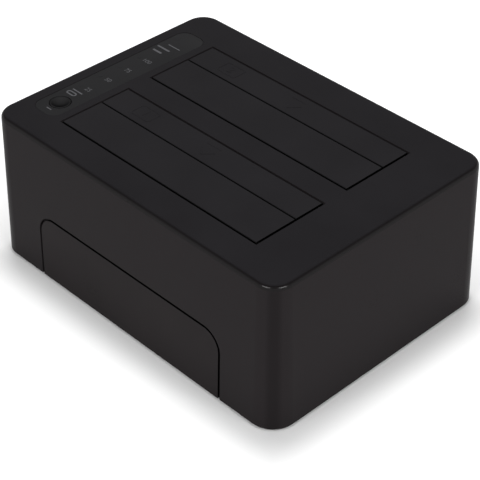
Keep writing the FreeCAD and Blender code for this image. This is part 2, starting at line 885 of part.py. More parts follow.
def front_panel():
    body = new_body("front_panel")
    front = (0, base_edge, 0.5 * dim.base_depth)
    sketch = new_sketch(body, "face", "XZ_Plane", front, dim.wall_draft)
    half, top = 0.5 * dim.tab_length - dim.panel_gap, dim.tab_height - dim.panel_gap
    radius = dim.tab_corner - dim.panel_gap
    outline(sketch, [(-half, 0, 0), (half, 0, 0), (half, top, radius), (-half, top, radius)])
    pad(body, sketch, dim.panel_thickness, flip=True)
    sketch = new_sketch(body, "hook_stems", "XZ_Plane", front, dim.wall_draft)
    half_width = 0.5 * dim.hook_width
    low, stem_top = dim.hook_height, dim.hook_height + dim.hook_stem
    for x in hooks:
        rectangle(sketch, x - half_width, x + half_width, low, stem_top)
    pad(body, sketch, dim.wall + dim.hook_slack + dim.hook_barb_length, flip=True)
    back = (0, base_edge, 0.5 * dim.base_depth - dim.wall - dim.hook_slack)
    sketch = new_sketch(body, "hook_barbs", "XZ_Plane", back, dim.wall_draft)
    for x in hooks:
        rectangle(sketch, x - half_width, x + half_width, low, stem_top + dim.hook_barb)
    pad(body, sketch, dim.hook_barb_length, flip=True)


# Bays: flaps on steel pins, closed by small torsion springs


def flap(label, line, length, turned):
    """A flap in its own frame: the hinge along X through the origin and the plate towards +Y."""
    turn = FreeCAD.Rotation(FreeCAD.Vector(0, 0, 1), 180 if turned else 0)
    body = new_body(label, (0, line, hinge_height), turn)
    under = knuckle - dim.flap_plate
    rib_under = under - dim.flap_rib_depth
    sketch = new_sketch(body, "plate", "YZ_Plane")
    shoulder = knuckle - dim.flap_edge
    polygon(
        sketch,
        [
            (-knuckle, under),
            (length, under),
            (length, shoulder),
            (length - dim.flap_edge, knuckle),
            (-shoulder, knuckle),
            (-knuckle, shoulder),
        ],
    )
    pad(body, sketch, 2 * flap_half, both=True)
    sketch = new_sketch(body, "knuckle", "YZ_Plane")
    flat = knuckle * math.tan(math.pi / 8)
    polygon(
        sketch,
        [
            (-knuckle, under),
            (-knuckle, -flat),
            (-flat, -knuckle),
            (flat, -knuckle),
            (knuckle, -flat),
            (knuckle, under),
        ],
    )
    pad(body, sketch, 2 * flap_half, both=True)
    sketch = new_sketch(body, "ribs", shift=(0, 0, rib_under))
    lip_inner, lip_outer = length - dim.lip_setback - dim.flap_rib, length - dim.lip_setback
    for index in range(FLAP_RIBS):
        x = dim.flap_rib_pitch * (index - 0.5 * (FLAP_RIBS - 1))
        rectangle(sketch, x - 0.5 * dim.flap_rib, x + 0.5 * dim.flap_rib, 0.5 * knuckle, lip_inner)
    pad(body, sketch, dim.flap_rib_depth)
    sketch = new_sketch(body, "lip", shift=(0, 0, rib_under))
    rectangle(sketch, dim.flap_rib - flap_half, flap_half - dim.flap_rib, lip_inner, lip_outer)
    pad(body, sketch, dim.flap_rib_depth)
    flap_stops(body, length, under)
    sketch = new_sketch(body, "pin_bore", "YZ_Plane")
    octagon(sketch, 0, 0, dim.pin_radius + dim.pin_fit)
    pocket(body, sketch, 2 * flap_half, both=True)
    sketch = new_sketch(body, "spring_notch", "YZ_Plane", (0, 0, dim.spring_place))
    room = spring_outer + dim.spring_room
    below, past = -knuckle - dim.spring_room, knuckle + dim.spring_room
    polygon(
        sketch,
        [(-room, below), (past, below), (past, under), (room, under), (room, room), (-room, room)],
    )
    pocket(body, sketch, dim.spring_length + 2 * dim.spring_room, both=True)


def flap_stops(body, length, under):
    """Lugs at both ends of the free edge that reach under the deck and stop the flap there."""
    ledge = deck_under - hinge_height - dim.stop_gap
    start = dim.stop_length + dim.stop_setback - length
    sketch = new_sketch(body, "stop", "XZ_Plane", (0, 0, start))
    end = flap_half
    inner, outer = end - dim.flap_rib, end + dim.flap_end_gap + dim.stop_reach
    foot = ledge - dim.flap_rib
    polygon(
        sketch,
        [(inner, foot), (outer, foot), (outer, ledge), (end, ledge), (end, under), (inner, under)],
    )
    stop = pad(body, sketch, dim.stop_length, flip=True)
    mirror(body, [stop], "YZ_Plane")


def hinge_pin(label, line):
    half = 0.5 * dim.bay_length + dim.pin_seat
    pin = rod(f"{label}_rod", (-half, line, hinge_height), dim.pin_radius, 2 * half, "X")
    keep(pin, label)


def flap_spring(label, line, way):
    """A coil round the hinge pin as a plain sleeve, with its leg under the flap's plate."""
    x = dim.spring_place * way
    end = x + 0.5 * dim.spring_length
    start = (x - 0.5 * dim.spring_length, line, hinge_height)
    sleeve = rod(f"{label}_outside", start, spring_outer, dim.spring_length, "X")
    hole = rod(f"{label}_inside", start, spring_inner, dim.spring_length, "X")
    near, far = (line, line + dim.spring_leg) if way > 0 else (line - dim.spring_leg, line)
    low = hinge_height - spring_outer + dim.spring_leg_inset
    high = hinge_height - spring_inner - dim.spring_leg_inset
    leg = block(f"{label}_leg", (end - dim.spring_wire, near, low), (end, far, high))
    keep(join(f"{label}_coil", [carve(f"{label}_tube", sleeve, [hole]), leg]), label)


# Guide wells: open frames under the bays that steer the drive onto its socket


def bay_well(label, index):
    body = new_body(label, (0, bay_centres[index], 0))
    sketch = new_sketch(body, "outline", shift=(0, 0, well_floor_under))
    cut_rectangle(sketch, well_outer_length, well_outer_width, dim.well_corner)
    pad(body, sketch, deck_under - well_floor_under)
    sketch = new_sketch(body, "inside", shift=(0, 0, deck_under))
    rectangle(sketch, -well_half_length, well_half_length, -well_half_width, well_half_width)
    pocket(body, sketch, deck_under - well_floor_top)
    well_guides(body)
    sketch = new_sketch(body, "legs", shift=(0, 0, board_top))
    for x, y in four_spots(leg_x, leg_y):
        square(sketch, x, y, dim.well_leg)
    pad(body, sketch, well_floor_under - board_top)
    sketch = new_sketch(body, "socket_window", shift=(0, 0, well_floor_top))
    half_length = 0.5 * dim.socket_length + dim.socket_room
    half_width = 0.5 * dim.socket_thickness + dim.socket_room
    rectangle(
        sketch,
        dim.socket_shift - half_length,
        dim.socket_shift + half_length,
        dim.socket_back - half_width,
        dim.socket_back + half_width,
    )
    pocket(body, sketch, dim.well_floor)


def well_guides(body):
    """Upright ribs that narrow the well to the drive, with sloping tops where it enters."""
    drive_face, drive_end = 0.5 * dim.drive_thickness, 0.5 * dim.drive_length
    slope = well_half_width - drive_face
    row_length = dim.guide_spacing * (GUIDES - 1)
    for name, side, part in (("front", -1, dim.wide_part), ("back", 1, narrow_part)):
        top = hinge_height - part + 0.5 * dim.split_gap - dim.guide_top_gap
        sketch = new_sketch(body, f"{name}_guide", "YZ_Plane", (0, 0, -0.5 * row_length))
        wall_line, drive_line = (well_half_width + 0.5 * dim.well_wall) * side, drive_face * side
        polygon(
            sketch,
            [
                (drive_line, well_floor_top),
                (drive_line, top - slope),
                (wall_line, top),
                (wall_line, well_floor_top),
            ],
        )
        guide = pad(body, sketch, dim.guide_rib, both=True)
        row_of(body, guide, "X_Axis", row_length, GUIDES)
    sketch = new_sketch(body, "end_guides", shift=(0, 0, well_floor_top))
    wall_end = well_half_length + 0.5 * dim.well_end_wall
    for y in (-0.5 * drive_face, sized(0)):
        for low, high in ((-wall_end, -drive_end), (drive_end, wall_end)):
            rectangle(sketch, low, high, y - 0.5 * dim.guide_rib, y + 0.5 * dim.guide_rib)
    pad(body, sketch, hinge_height - dim.wide_part - dim.guide_top_gap - well_floor_top)


# Main board with the drive sockets and its larger parts


def main_board():
    body = new_body("main_board")
    sketch = new_sketch(body, "outline", shift=(0, 0, board_under))
    half = 0.5 * dim.board_length
    rectangle(sketch, -half, half, -dim.board_front, board_back)
    pad(body, sketch, dim.board_thickness)


def drive_socket(label, index):
    """An upright receptacle with a long power slot and a short data slot, each keyed."""
    body = new_body(label, (dim.socket_shift, bay_centres[index] + dim.socket_back, 0))
    top = well_floor_top + dim.socket_rise
    for name, length, thickness, height in (
        ("foot", dim.socket_foot_length, dim.socket_foot_thickness, dim.socket_foot_height),
        ("column", dim.socket_length, dim.socket_thickness, top - board_top),
    ):
        sketch = new_sketch(body, name, shift=(0, 0, board_top))
        rectangle(sketch, -0.5 * length, 0.5 * length, -0.5 * thickness, 0.5 * thickness)
        pad(body, sketch, height)
    sketch = new_sketch(body, "slots", shift=(0, 0, top))
    front, back = -0.5 * dim.blade_slot, 0.5 * dim.blade_slot
    for keyed, plain, way in socket_slots():
        step = keyed + dim.slot_key * way
        nose = front - dim.slot_key
        polygon(
            sketch, [(keyed, nose), (step, nose), (step, front), (plain, front), (plain, back), (keyed, back)]
        )
    pocket(body, sketch, dim.blade_depth)


def socket_slots():
    """Keyed end, plain end and the way between them, of the data slot and of the power slot."""
    edge = 0.5 * dim.socket_length - dim.slot_end
    return [(-edge, -edge + dim.data_slot_length, 1), (edge, edge - dim.power_slot_length, -1)]


def socket_contacts(label, index):
    """Gilt contact strips on the straight wall of each slot."""
    y = bay_centres[index] + dim.socket_back + 0.5 * dim.blade_slot
    top = well_floor_top + dim.socket_rise - dim.contact_drop
    strips = []
    for (keyed, plain, _), count in zip(socket_slots(), (DATA_CONTACTS, POWER_CONTACTS)):
        for i in range(count):
            x = dim.socket_shift + 0.5 * (keyed + plain) + dim.contact_pitch * (i - 0.5 * (count - 1))
            low = (x - 0.5 * dim.contact_width, y - dim.contact_stock, top - dim.contact_length)
            high = (x + 0.5 * dim.contact_width, y, top)
            strips.append(block(f"{label}_{count}_{i}", low, high))
    keep(gather(f"{label}_strips", strips), label)


def controller_chips():
    """A bridge chip beside each drive socket, and a hub chip between them."""
    spots = [(dim.chip_place, centre + dim.chip_back) for centre in bay_centres]
    spots.append((dim.hub_place, dim.hub_back))
    size, top = (dim.chip_size, dim.chip_size), board_top + dim.chip_height
    chips = [slab(f"chip_{i}", spot, size, board_top, top) for i, spot in enumerate(spots)]
    keep(gather("chip_group", chips), "controller_chips")


def capacitors():
    cans = []
    for i in range(CAPACITORS):
        x = dim.capacitor_spacing * (i - 0.5 * (CAPACITORS - 1))
        start = (x, dim.bay_pair_shift, board_top)
        cans.append(rod(f"capacitor_{i}", start, dim.capacitor_radius, dim.capacitor_height))
    keep(gather("capacitor_group", cans), "capacitors")


def inductors():
    coils = []
    size = (dim.inductor_size, dim.inductor_size)
    for i in range(INDUCTORS):
        spot = (dim.inductor_place + dim.inductor_spacing * (i - 0.5 * (INDUCTORS - 1)), dim.inductor_back)
        coils.append(slab(f"inductor_{i}", spot, size, board_top, board_top + dim.inductor_height))
    keep(gather("inductor_group", coils), "inductors")


def crystal():
    """The timing crystal's flat can beside the hub chip."""
    spot, size = (dim.crystal_place, dim.hub_back), (dim.crystal_length, dim.crystal_width)
    keep(slab("crystal_can", spot, size, board_top, board_top + dim.crystal_height), "crystal")


# Sockets and power switch at the back


def usb_socket():
    """A metal shell with a stepped mouth: a square lower part and a narrower upper part."""
    body = new_body("usb_socket")
    half = 0.5 * dim.usb_width
    sketch = new_sketch(body, "shell", "XZ_Plane", (dim.usb_place, board_top, -port_face))
    rectangle(sketch, -half, half, 0, dim.usb_height)
    pad(body, sketch, dim.usb_depth)
    sketch = new_sketch(body, "mouth", "XZ_Plane", (dim.usb_place, board_top, -port_face))
    low, main, upper = dim.usb_shell, 0.5 * dim.usb_main_width, 0.5 * dim.usb_upper_width
    shoulder, top = low + dim.usb_main_height, dim.usb_height - dim.usb_shell
    points = [
        (-main, low, 0),
        (main, low, 0),
        (main, shoulder, 0),
        (upper, shoulder, 0),
        (upper, top, 0),
        (-upper, top, 0),
        (-upper, shoulder, 0),
        (-main, shoulder, 0),
    ]
    outline(sketch, points)
    pocket(body, sketch, dim.usb_cavity, flip=True)


def usb_tongues():
    """The two plastic tongues inside the mouth."""
    floor, tip = port_face - dim.usb_cavity, port_face - dim.usb_tongue_inset
    low = board_top + dim.usb_shell
    main = low + 0.5 * (dim.usb_main_height - dim.usb_tongue_height)
    upper = low + dim.usb_main_height + dim.usb_upper_rise
    tongues = []
    for name, width, foot, height in (
        ("main", dim.usb_tongue_width, main, dim.usb_tongue_height),
        ("upper", dim.usb_upper_tongue_width, upper, dim.usb_upper_tongue),
    ):
        left, right = dim.usb_place - 0.5 * width, dim.usb_place + 0.5 * width
        tongues.append(block(f"usb_{name}_tongue", (left, floor, foot), (right, tip, foot + height)))
    keep(gather("usb_tongue_group", tongues), "usb_insulator")


def dc_jack():
    """A round inlet in a square case, with its contact pin."""
    x, y = dim.jack_place, port_face
    centre, top = board_top + 0.5 * dim.jack_height, board_top + dim.jack_height
    half = 0.5 * dim.jack_width
    case = block("jack_case", (x - half, y - dim.jack_depth, board_top), (x + half, y, top))
    floor = (x, y - dim.jack_bore_depth, centre)
    bore = rod("jack_bore", floor, dim.jack_bore_radius, dim.jack_bore_depth, "Y")
    keep(carve("jack_bored", case, [bore]), "dc_jack")
    pin = rod("jack_pin_rod", floor, dim.jack_pin_radius, dim.jack_bore_depth - dim.jack_pin_inset, "Y")
    keep(pin, "dc_jack_pin")


def power_switch():
    """A latching push switch on the board, whose stem carries the round button."""
    x, z = dim.switch_place, switch_axis
    outside = wall_face(0.5 * dim.base_depth, switch_axis)
    flange_back = outside - dim.wall - dim.power_flange_gap
    flange_front = flange_back - dim.power_flange
    switch_front = flange_front - dim.switch_travel - dim.switch_gap
    half = 0.5 * dim.switch_width
    low = (x - half, switch_front - dim.switch_depth, board_top)
    case = block("switch_case", low, (x + half, switch_front, board_top + dim.switch_height))
    stem_end = switch_front - dim.power_stem_sink
    hole_end = stem_end - dim.switch_travel - dim.switch_gap
    reach = 0.5 * dim.power_stem_width
    room = reach + dim.power_stem_room
    hole = block("switch_hole", (x - room, hole_end, z - room), (x + room, switch_front, z + room))
    keep(carve("switch_bored", case, [hole]), "power_switch")
    cap_front = outside - dim.power_recess_depth + dim.power_cap_proud
    stem = block("power_stem", (x - reach, stem_end, z - reach), (x + reach, flange_back, z + reach))
    edge = dim.power_cap_radius + dim.power_flange_reach
    flange = block("power_flange", (x - edge, flange_front, z - edge), (x + edge, flange_back, z + edge))
    cap = rod("power_cap", (x, flange_front, z), dim.power_cap_radius, cap_front - flange_front, "Y")
    keep(join("power_button_whole", [stem, flange, cap]), "power_button")


# Control strip, copy button and lights


def control_strip():
    body = new_body("control_strip")
    sketch = new_sketch(body, "outline", shift=(0, 0, strip_floor))
    strip_outline(sketch, sized(0))
    circle(sketch, dim.strip_centre, dim.button_place, dim.button_radius + dim.button_room)
    pad(body, sketch, dim.strip_thickness)


def clone_button():
    """A dished round key with a square flange below the deck. The switch's plunger moves with it."""
    x, y = dim.strip_centre, dim.button_place
    flange_top = deck_under - dim.button_free_gap
    flange_under = flange_top - dim.button_flange
    side = 2 * (dim.button_radius + dim.button_flange_reach)
    stalk = rod("button_stalk", (x, y, flange_under), dim.button_radius, deck_top - flange_under)
    flange = slab("button_flange", (x, y), (side, side), flange_under, flange_top)
    dish = doc.addObject("Part::Cone", "button_dish")
    rim_radius = dim.button_radius - dim.button_rim
    bind(dish, Radius1=dim.button_dish_floor, Radius2=rim_radius, Height=dim.button_dish)
    place(dish, (x, y, deck_top - dim.button_dish))
    keep(carve("button_dished", join("button_whole", [stalk, flange]), [dish]), "clone_button")
    tact_top = control_board_top + dim.tact_height
    plunger_foot = tact_top - dim.plunger_depth
    plunger = rod("plunger_rod", (x, y, plunger_foot), dim.plunger_radius, flange_under - plunger_foot)
    keep(plunger, "clone_switch_plunger")
    case = slab("tact_case", (x, y), (dim.tact_size, dim.tact_size), control_board_top, tact_top)
    hole_foot = plunger_foot - dim.button_travel - dim.plunger_room
    hole = rod("tact_hole", (x, y, hole_foot), dim.plunger_radius + dim.pin_fit, tact_top - hole_foot)
    keep(carve("tact_bored", case, [hole]), "clone_switch")


def control_board():
    body = new_body("control_board")
    sketch = new_sketch(body, "outline", shift=(0, 0, control_board_under))
    left = dim.strip_centre - 0.5 * dim.control_board_width
    right = dim.strip_centre + 0.5 * dim.control_board_width
    rectangle(sketch, left, right, -dim.control_board_front, dim.control_board_back)
    pad(body, sketch, dim.control_board_thickness)


def light_guide():
    """A clear comb: a bar under the deck with one light pipe for each lamp."""
    bar_under = deck_under - dim.light_bar_height
    half = 0.5 * dim.light_bar
    low = (light_x - half, lights[0] - half, bar_under)
    parts = [block("light_bar_block", low, (light_x + half, lights[-1] + half, deck_under))]
    foot = control_board_top + dim.lamp_height + dim.lamp_gap
    size = (dim.light_pipe, dim.light_pipe)
    for i, y in enumerate(lights):
        parts.append(slab(f"light_pipe_{i}", (light_x, y), size, foot, strip_floor))
    keep(join("light_comb", parts), "light_guide")


def indicator_lamps():
    size = (dim.lamp_width, dim.lamp_length)
    top = control_board_top + dim.lamp_height
    lamps = [slab(f"lamp_{i}", (light_x, y), size, control_board_top, top) for i, y in enumerate(lights)]
    keep(gather("lamp_group", lamps), "indicator_lamps")


def flat_cable():
    """A flat cable that runs straight down between a plug on each board."""
    x, y = dim.strip_centre + dim.cable_shift, dim.cable_place
    upper_end = control_board_under - dim.plug_height
    lower_end = board_top + dim.plug_height
    plugs = [
        slab("upper_plug", (x, y), (dim.plug_width, dim.plug_length), upper_end, control_board_under),
        slab("lower_plug", (x, y), (dim.plug_width, dim.plug_length), board_top, lower_end),
    ]
    keep(gather("plug_group", plugs), "cable_plugs")
    cable = slab("cable_ribbon", (x, y), (dim.cable_thickness, dim.cable_width), lower_end, upper_end)
    keep(cable, "flat_cable")


def build():
    top_housing()
    base_plate()
    front_panel()
    control_strip()
    clone_button()
    control_board()
    light_guide()
    indicator_lamps()
    flat_cable()
    for index, bay in enumerate(("front_bay", "back_bay")):
        wide_line, narrow_line = hinge_lines(index)
        for kind, line, reach, turned in (
            ("wide", wide_line, flap_reach(dim.wide_part, dim.wide_hinge_gap), False),
            ("narrow", narrow_line, flap_reach(narrow_part, dim.narrow_hinge_gap), True),
        ):
            flap(f"{bay}_{kind}_flap", line, reach, turned)
            hinge_pin(f"{bay}_{kind}_pin", line)
            flap_spring(f"{bay}_{kind}_spring", line, -1 if turned else 1)
        bay_well(f"{bay}_well", index)
        drive_socket(f"{bay}_socket", index)
        socket_contacts(f"{bay}_contacts", index)
    main_board()
    controller_chips()
    capacitors()
    inductors()
    crystal()
    usb_socket()
    usb_tongues()
    dc_jack()
    power_switch()
    case_screws()
    rubber_feet()
    doc.recompute()


def check():
    """Stops if any object failed, or a piece is empty or broken."""
    failed = [item.Name for item in doc.Objects if {"Invalid", "Error"} & set(item.State)]
    if failed:
        raise ValueError(f"failed objects: {failed}")
    for piece in pieces:
        if piece.Shape.isNull() or not piece.Shape.isValid() or not piece.Shape.Solids:
            raise ValueError(f"{piece.Label} has no sound solid")


def write():
    os.makedirs("parts", exist_ok=True)
    for piece in pieces:
        piece.Shape.exportStep(f"parts/{piece.Label}.step")
        print(f"{piece.Label}: {len(piece.Shape.Solids)} solids, {piece.Shape.Volume:.1f} mm3")


build()
check()
write()
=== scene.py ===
import math

import bmesh
import bpy
from mathutils import Matrix, Vector


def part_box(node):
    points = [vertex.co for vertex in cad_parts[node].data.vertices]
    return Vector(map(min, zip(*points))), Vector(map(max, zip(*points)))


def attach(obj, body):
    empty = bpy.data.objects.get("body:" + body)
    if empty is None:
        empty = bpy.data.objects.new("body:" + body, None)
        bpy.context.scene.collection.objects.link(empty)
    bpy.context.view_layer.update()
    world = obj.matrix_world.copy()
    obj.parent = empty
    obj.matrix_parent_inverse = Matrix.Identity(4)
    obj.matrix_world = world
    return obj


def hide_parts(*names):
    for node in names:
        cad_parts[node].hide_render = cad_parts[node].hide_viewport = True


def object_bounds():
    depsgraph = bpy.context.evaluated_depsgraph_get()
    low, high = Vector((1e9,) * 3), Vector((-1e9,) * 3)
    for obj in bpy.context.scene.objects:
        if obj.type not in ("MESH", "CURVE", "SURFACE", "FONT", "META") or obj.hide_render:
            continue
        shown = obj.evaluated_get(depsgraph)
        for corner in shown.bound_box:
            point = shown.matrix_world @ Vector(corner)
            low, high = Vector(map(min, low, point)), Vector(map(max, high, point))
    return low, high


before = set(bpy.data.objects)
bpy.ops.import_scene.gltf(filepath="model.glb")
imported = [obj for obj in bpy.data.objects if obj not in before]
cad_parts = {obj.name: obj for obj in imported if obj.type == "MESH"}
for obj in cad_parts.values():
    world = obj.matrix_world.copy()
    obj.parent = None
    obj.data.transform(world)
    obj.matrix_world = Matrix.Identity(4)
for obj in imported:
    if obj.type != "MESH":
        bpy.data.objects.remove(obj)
cad_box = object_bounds()
MM = 0.001

# The camera looks down on the corner between the front and the right side, from about 0.6 m away.
# There the corners of the housing fall on the same places of the picture as in the photograph.
camera_place = Vector((353.13, -336.55, 390.39)) * MM
camera_azimuth = math.radians(46.17)
camera_elevation = math.radians(37.59)
camera_roll = math.radians(-0.15)
SENSOR_WIDTH, FOCAL_LENGTH = 36.0, 119.4
level = math.cos(camera_elevation)
back = Vector((math.sin(camera_azimuth) * level, -math.cos(camera_azimuth) * level,
               math.sin(camera_elevation)))
right = Vector((math.cos(camera_azimuth), math.sin(camera_azimuth), 0))
up = back.cross(right)
across = math.cos(camera_roll) * right + math.sin(camera_roll) * up
turn = Matrix((across, back.cross(across), back)).transposed()
camera = bpy.data.objects.new("camera", bpy.data.cameras.new("camera"))
camera.data.sensor_width = SENSOR_WIDTH
camera.data.lens = FOCAL_LENGTH
camera.matrix_world = Matrix.LocRotScale(camera_place, turn.to_quaternion(), None)
bpy.context.scene.collection.objects.link(camera)
bpy.context.scene.camera = camera
bpy.context.scene.view_settings.view_transform = "Standard"


# The dock stands on a wide pale sheet, which keeps its soft shadow. One soft box hangs overhead,
# out of reflections, and one stands at the front and one at the right. The sheet glows for the
# camera alone, from a few millimetres off the dock's outline and more with distance. This painted
# light leaves the floor round the dock darker, as painted shade. The far sheet runs into the white
# room, which is bright low down and dim above.
def sum_of(operation, swapped=False):
    """An operator on values of a surface, as a Math node."""
    def combine(term, other):
        pair = [other, term] if swapped else [term, other]
        return term.nodes.add("ShaderNodeMath", {"operation": operation}, pair)
    return combine


class Term:
    """A node's output, which can stand in sums such as 1 - mask * 0.3."""

    def __init__(self, nodes, socket):
        self.nodes = nodes
        self.socket = socket

    __add__ = __radd__ = sum_of("ADD")
    __mul__ = __rmul__ = sum_of("MULTIPLY")
    __sub__ = sum_of("SUBTRACT")
    __rsub__ = sum_of("SUBTRACT", True)
    __truediv__ = sum_of("DIVIDE")
    __rtruediv__ = sum_of("DIVIDE", True)
    __gt__ = sum_of("GREATER_THAN")
    __lt__ = sum_of("LESS_THAN")


class Nodes:
    """The nodes of a material or of the world."""

    def __init__(self, owner):
        owner.use_nodes = True
        self.owner = owner
        self.tree = owner.node_tree

    def add(self, kind, settings=None, sockets=(), output=0):
        """A node of a kind, with its settings made first, then its sockets. Returns one output."""
        node = self.tree.nodes.new(kind)
        for key, value in (settings or {}).items():
            setattr(node, key, value)
        pairs = sockets.items() if isinstance(sockets, dict) else enumerate(sockets)
        for key, value in pairs:
            self.feed(node.inputs[key], value)
        return Term(self, node.outputs[output])

    def feed(self, socket, value):
        """Links or sets one socket. A colour may be given without its alpha."""
        if isinstance(value, Term):
            self.tree.links.new(value.socket, socket)
        elif socket.type == "RGBA":
            socket.default_value = (*value[:3], 1.0)
        else:
            socket.default_value = value

    def shader(self, **sockets):
        """Feeds the surface shader. Underscores in the names stand for spaces."""
        for name, value in sockets.items():
            self.feed(self.tree.nodes["Principled BSDF"].inputs[name.replace("_", " ")], value)


def blend(mask, low, high):
    """A colour between two, by a mask."""
    return mask.nodes.add("ShaderNodeMix", {"data_type": "RGBA"}, {0: mask, 6: low, 7: high}, 2)


def stretch(value, low, high, start=0.0, end=1.0):
    """The value's range from low to high, drawn out to another and held there."""
    return value.nodes.add("ShaderNodeMapRange", {"clamp": True}, [value, low, high, start, end])


def lamp(name, place, target, width, height, watts, mirrored=True):
    """A soft box that faces the target. It can be kept out of reflections."""
    light = bpy.data.lights.new(name, "AREA")
    light.shape = "RECTANGLE"
    light.size, light.size_y = width, height
    light.energy = watts
    item = bpy.data.objects.new(name, light)
    item.location = place
    item.rotation_mode = "QUATERNION"
    item.rotation_quaternion = (Vector(target) - Vector(place)).to_track_quat("-Z", "Y")
    item.visible_glossy = mirrored
    bpy.context.scene.collection.objects.link(item)


def seen(nodes):
    """1 for a ray of the camera, of a reflection or through glass, and 0 for other light."""
    rays = [nodes.add("ShaderNodeLightPath", output=f"Is {ray} Ray")
            for ray in ("Camera", "Glossy", "Transmission")]
    return stretch(rays[0] + rays[1] + rays[2], 0.0, 1.0)


FLOOR_REACH = 6.0
FAR_GLOW, GLOW_FROM, GLOW_TO = 0.4, 4 * MM, 60 * MM
DOCK_LENGTH, DOCK_DEPTH = cad_box[1].x - cad_box[0].x, cad_box[1].y - cad_box[0].y
floor_mesh = bpy.data.meshes.new("floor")
floor_form = bmesh.new()
bmesh.ops.create_grid(floor_form, x_segments=4, y_segments=4, size=FLOOR_REACH)
floor_form.to_mesh(floor_mesh)
floor_form.free()
floor = bpy.data.objects.new("floor", floor_mesh)
bpy.context.scene.collection.objects.link(floor)
sheet = Nodes(bpy.data.materials.new("pale_floor"))
sheet.shader(Base_Color=(0.77, 0.77, 0.77), Roughness=0.9, Specular_IOR_Level=0.1)
watched = sheet.add("ShaderNodeLightPath", output="Is Camera Ray")
spot = sheet.add("ShaderNodeVectorMath", {"operation": "ABSOLUTE"},
                 [sheet.add("ShaderNodeTexCoord", output="Object")])
past = [sheet.add("ShaderNodeSeparateXYZ", None, [spot], axis) - length / 2
        for axis, length in enumerate((DOCK_LENGTH, DOCK_DEPTH))]
furthest = sheet.add("ShaderNodeMath", {"operation": "MAXIMUM"}, past)
# Painted light: the floor's glow grows with distance from the dock, which leaves painted shade round it.
painted_floor_glow = stretch(furthest, GLOW_FROM, GLOW_TO, 0.0, FAR_GLOW)
sheet.shader(Emission_Color=watched * painted_floor_glow, Emission_Strength=1.0)
floor_mesh.materials.append(sheet.owner)

room = Nodes(bpy.data.worlds.new("room"))
bpy.context.scene.world = room.owner
ROOM_LOW, ROOM_HIGH = 1.0, 0.15
DIM_FROM, DIM_TO = 0.12, 0.75
ROOM_LIGHT = 0.32
BOX_TARGET, BOX_WIDTH, BOX_HEIGHT = (0.03, -0.02, 0.05), 0.36, 0.18
upward = room.add("ShaderNodeSeparateXYZ", None, [room.add("ShaderNodeTexCoord", output="Generated")], 2)
wall = stretch(upward, DIM_FROM, DIM_TO, ROOM_LOW, ROOM_HIGH)
looked_at = seen(room)
room.feed(room.tree.nodes["Background"].inputs["Color"], (1.0, 1.0, 1.0))
room.feed(room.tree.nodes["Background"].inputs["Strength"], wall * looked_at + (1 - looked_at) * ROOM_LIGHT)
lamp("overhead", (-0.15, 0.145, 1.26), (0, 0, 0.03), 0.34, 0.34, 10.5, mirrored=False)
lamp("front_box", (0.10, -0.57, 0.48), BOX_TARGET, BOX_WIDTH, BOX_HEIGHT, 2.1)
lamp("right_box", (0.587, -0.08, 0.48), BOX_TARGET, BOX_WIDTH, BOX_HEIGHT, 2.2)


# The housing is one drafted moulding in satin black plastic, with a fine grain from the mould and
# a rolled top edge. The base plate is the same plastic, let in from below.
def place(nodes):
    """A point of the surface in the part's own frame, in metres."""
    return nodes.add("ShaderNodeTexCoord", output="Object")


def cloud(nodes, size, detail=2.0, stretch_by=(1.0, 1.0, 1.0)):
    """Soft noise of a given grain size, from 0 to 1."""
    point = nodes.add("ShaderNodeVectorMath", {"operation": "MULTIPLY"}, [place(nodes), stretch_by])
    return nodes.add("ShaderNodeTexNoise", None, {"Vector": point, "Scale": 1 / size, "Detail": detail})


def raised(height, depth, strength=1.0):
    """A bump of a real depth."""
    return height.nodes.add("ShaderNodeBump", None,
                            {"Strength": strength, "Distance": depth, "Height": height})


# Painted shade: faces that look into gaps and grooves get this near black.
GAP_PAINTED_SHADE = (0.0012, 0.0012, 0.0012)
# Shares of the side colour left in the painted shade down each upright corner and on the rolled edges.
CORNER_PAINTED_SHADE_SHARE, CORNER_FROM, CORNER_TO = 0.74, 0.15, 0.235
ROLL_PAINTED_SHADE_SHARE, ROLL_FROM, ROLL_TO = 0.32, 0.08, 0.25
COAT_FROM, COAT_TO = 0.12, 0.2


def turned(nodes, way):
    """How far the surface is turned to a way, from -1 to 1."""
    normal = nodes.add("ShaderNodeTexCoord", output="Normal")
    return nodes.add("ShaderNodeVectorMath", {"operation": "DOT_PRODUCT"}, [normal, way], "Value")


